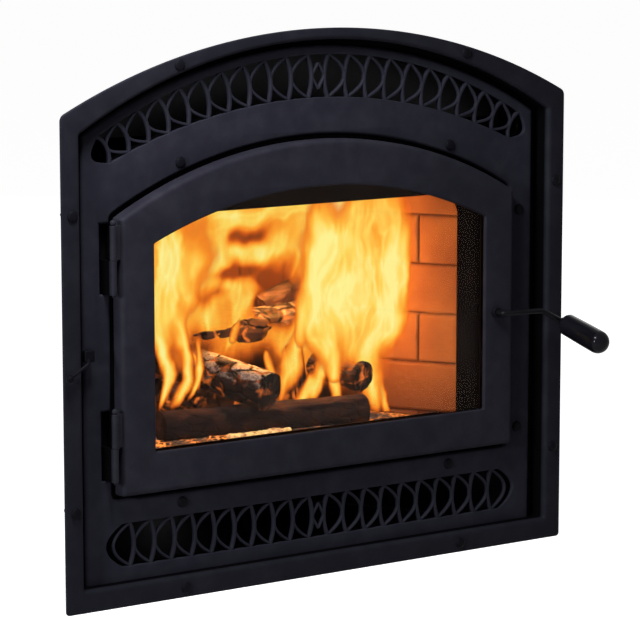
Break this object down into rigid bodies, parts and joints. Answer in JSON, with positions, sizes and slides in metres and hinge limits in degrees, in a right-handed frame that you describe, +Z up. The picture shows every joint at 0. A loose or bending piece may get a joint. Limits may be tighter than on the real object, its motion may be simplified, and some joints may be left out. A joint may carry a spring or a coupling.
{
  "type": "wood-burning fireplace",
  "caption": "Built-in wood-burning fireplace: arched black steel face, lattice air grilles, hinged arched glass door with latch handle, splayed brick firebox, casing and flue collar.",
  "frame": {"origin": "on the floor, under the middle of the flue collar, at the underside of the casing base", "axes": "+X to the viewer's right along the face, +Y into the wall, +Z up; the face looks towards -Y"},
  "size_m": [0.9145, 0.6411, 0.8294],
  "materials": {
    "painted_steel": "black powder coat, satin",
    "painted_iron": "black high-temperature paint, satin",
    "bare_steel": "heat-darkened",
    "galvanised": "spangled zinc",
    "firebrick": "rough",
    "door_glass": "clear ceramic",
    "rope": "braided glass fibre",
    "grip": "gloss",
    "log_wood": "charred bark",
    "ember": "glowing",
    "flame": "glowing"
  },
  "bodies": {
    "fireplace": {"surround_frame": "painted_steel", "backing_frame": "painted_steel", "face_panel": "painted_steel", "top_grille": "painted_iron", "bottom_grille": "painted_iron", "surround_bolt_upper_left": "painted_iron", "surround_bolt_upper_right": "painted_iron", "surround_bolt_lower_left": "painted_iron", "surround_bolt_lower_right": "painted_iron", "surround_bolt_arch_left": "painted_iron", "surround_bolt_arch_right": "painted_iron", "surround_bolt_foot_left": "painted_iron", "surround_bolt_foot_right": "painted_iron", "panel_bolt_head_left": "painted_iron", "panel_bolt_head_right": "painted_iron", "panel_bolt_side_upper": "painted_iron", "panel_bolt_side_lower": "painted_iron", "panel_bolt_foot_left": "painted_iron", "panel_bolt_foot_right": "painted_iron", "firebox_front": "painted_iron", "firebox_shell": "bare_steel", "mouth_frame": "bare_steel", "hearth_slab": "firebrick", "brick_panel_left": "firebrick", "brick_panel_right": "firebrick", "brick_panel_rear": "firebrick", "ash_lip": "painted_iron", "air_tube_front": "bare_steel", "air_tube_middle": "bare_steel", "air_tube_rear": "bare_steel", "baffle_board": "firebrick", "flue_collar": "bare_steel", "casing_wrap": "galvanised", "air_inlet_collar": "galvanised", "casing_base": "galvanised", "casing_top": "galvanised", "warm_air_hood": "galvanised", "hinge_bracket_upper": "painted_iron", "hinge_bracket_lower": "painted_iron", "hinge_pin_upper": "painted_iron", "hinge_pin_lower": "painted_iron", "latch_keeper": "bare_steel", "air_channel": "galvanised"},
    "door": {"door_frame": "painted_iron", "door_rope_gasket": "rope", "glass_tape": "rope", "door_glass": "door_glass", "glass_retainer": "bare_steel", "hinge_knuckle_upper": "painted_iron", "hinge_knuckle_lower": "painted_iron", "spindle_bushing": "painted_iron"},
    "handle": {"latch_spindle": "painted_iron", "handle_collar": "bare_steel", "handle_grip": "grip", "latch_cam": "bare_steel"},
    "air_control": {"air_shutter": "bare_steel", "air_lever": "painted_iron"}
  },
  "joints": [
    {"name": "door_hinge", "type": "hinge", "parent": "fireplace", "child": "door", "pos_m": [-0.373, -0.259, 0.376], "axis": [0, 0, -1], "range_deg": [0, 115]},
    {"name": "handle_turn", "type": "hinge", "parent": "door", "child": "handle", "pos_m": [0.322, -0.26, 0.376], "axis": [0, -1, 0], "range_deg": [0, 90]},
    {"name": "air_slide", "type": "slide", "parent": "fireplace", "child": "air_control", "axis": [0, 0, 1], "range_m": [-0.06, 0.06]}
  ]
}
